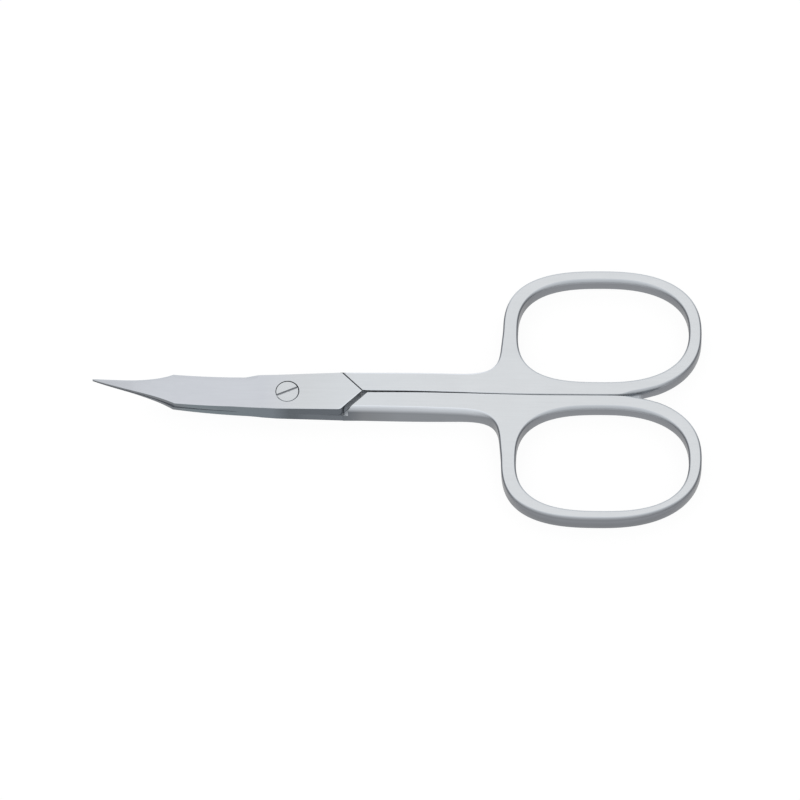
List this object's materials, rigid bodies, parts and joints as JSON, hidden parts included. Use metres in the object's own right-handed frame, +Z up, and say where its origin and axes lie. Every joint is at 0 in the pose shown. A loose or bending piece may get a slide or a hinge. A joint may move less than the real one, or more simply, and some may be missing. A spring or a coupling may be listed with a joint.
{
  "type": "nail scissors",
  "caption": "Slim nail scissors with bowed tower-point blades, two finger rings and a slotted pivot screw.",
  "frame": {"origin": "middle of the closed scissors' box in X and Y, on the surface that the lower shank lies on", "axes": "+X from the blades' tips towards the finger rings, +Y from the lower half's ring towards the upper half's ring, +Z up, along the pivot axis on the screw head's side"},
  "size_m": [0.09, 0.0428, 0.007],
  "materials": {
    "satin_stainless": "fine satin ground",
    "screw_stainless": "turned and lightly polished"
  },
  "bodies": {
    "lower_body": {"lower_half": "satin_stainless", "pivot_screw": "screw_stainless"},
    "upper_body": {"upper_half": "satin_stainless"}
  },
  "joints": [
    {"name": "blade_pivot", "type": "hinge", "parent": "lower_body", "child": "upper_body", "pos_m": [-0.01633, 0, 0.00197], "axis": [0, 0, 1], "range_deg": [0, 60]}
  ]
}
